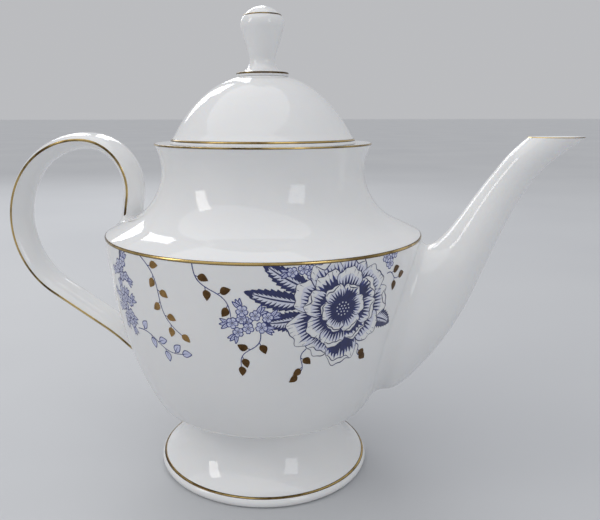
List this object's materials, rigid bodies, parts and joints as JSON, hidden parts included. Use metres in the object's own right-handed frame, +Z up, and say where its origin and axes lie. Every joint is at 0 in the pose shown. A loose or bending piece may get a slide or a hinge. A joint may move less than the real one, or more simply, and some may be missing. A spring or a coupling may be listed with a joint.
{
  "type": "porcelain teapot",
  "caption": "Footed white porcelain teapot with a domed lift-off lid, strap loop handle, curved spout, cobalt flower pattern and gilt lines.",
  "frame": {"origin": "centre of the foot's resting plane, under the pot's turning axis", "axes": "+Z up along the pot's turning axis, +X towards the spout, -X towards the handle, +Y to the left of the spout"},
  "size_m": [0.2645, 0.1432, 0.21],
  "materials": {
    "porcelain": "gloss glaze",
    "gilding": "bright burnished gilding"
  },
  "bodies": {
    "pot": {"pot_body": "porcelain", "foot": "porcelain", "spout": "porcelain", "handle": "porcelain", "belly_band": "gilding", "foot_band": "gilding", "rim_band": "gilding", "spout_lip_band": "gilding", "handle_line_front": "gilding", "handle_line_back": "gilding"},
    "lid": {"lid": "porcelain", "finial": "porcelain", "lid_band": "gilding", "finial_base_band": "gilding", "finial_top_band": "gilding"}
  },
  "joints": [
    {"name": "lid_lift", "type": "slide", "parent": "pot", "child": "lid", "axis": [0, 0, 1], "range_m": [0, 0.08]}
  ]
}
